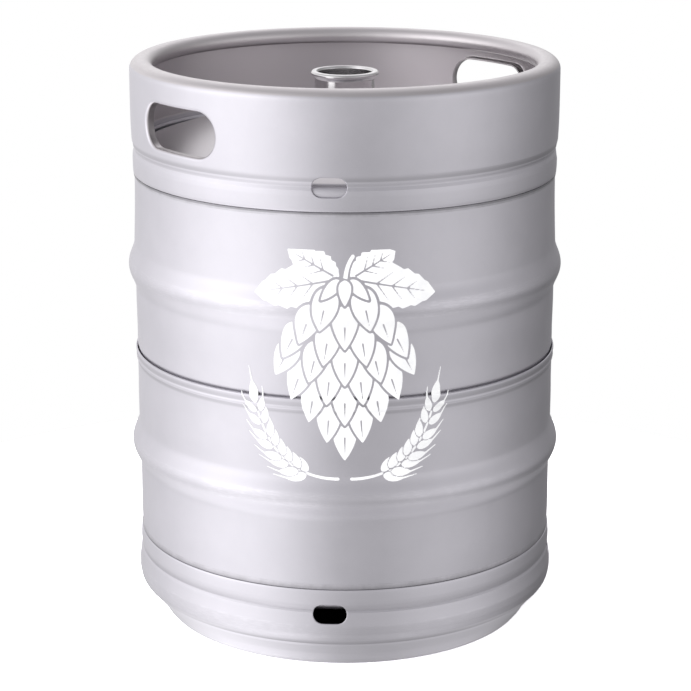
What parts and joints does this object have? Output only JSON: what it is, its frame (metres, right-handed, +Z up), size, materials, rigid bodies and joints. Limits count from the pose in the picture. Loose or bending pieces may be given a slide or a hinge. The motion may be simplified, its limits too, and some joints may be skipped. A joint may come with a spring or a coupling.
{
  "type": "beer keg",
  "caption": "Stainless steel beer keg with rolling hoops, hand holes and drain slots in its chimes, and a sprung well-type extractor valve on a down tube in its neck.",
  "frame": {"origin": "centre of the foot ring, on the floor", "axes": "+Z up along the keg's axis; -Y is the front, through one pair of drain slots; the hand holes face (-1,-1,0) and (+1,+1,0)"},
  "size_m": [0.408, 0.408, 0.532],
  "materials": {
    "satin_stainless": "bead-blasted satin",
    "chime_stainless": "bead-blasted satin",
    "weld_stainless": "dressed weld, matt",
    "polished_stainless": "polished stainless steel",
    "machined_stainless": "fine machined",
    "spring_stainless": "drawn wire",
    "ball_stainless": "mirror polished",
    "seal_rubber": "matt black food-grade rubber"
  },
  "bodies": {
    "vessel": {"upper_shell": "satin_stainless", "lower_shell": "satin_stainless", "girth_weld": "weld_stainless", "top_chime": "chime_stainless", "bottom_chime": "chime_stainless", "top_chime_weld": "weld_stainless", "bottom_chime_weld": "weld_stainless", "neck": "polished_stainless", "neck_weld": "weld_stainless", "extractor_body": "machined_stainless", "body_seal": "seal_rubber", "lock_ring": "spring_stainless", "spring_cage": "machined_stainless", "main_spring": "spring_stainless"},
    "spear": {"tube_head": "machined_stainless", "down_tube": "polished_stainless", "seal_carrier": "machined_stainless", "gas_seal": "seal_rubber", "ball_spring": "spring_stainless"},
    "ball": {"valve_ball": "ball_stainless"}
  },
  "joints": [
    {"name": "gas_valve_slide", "type": "slide", "parent": "vessel", "child": "spear", "axis": [0, 0, 1], "range_m": [-0.008, 0], "stiffness_N_per_m": 5000, "springref_m": 0.016, "deforming": ["main_spring"]},
    {"name": "beer_valve_slide", "type": "slide", "parent": "spear", "child": "ball", "axis": [0, 0, 1], "range_m": [-0.004, 0], "stiffness_N_per_m": 500, "springref_m": 0.005, "deforming": ["ball_spring"]}
  ]
}
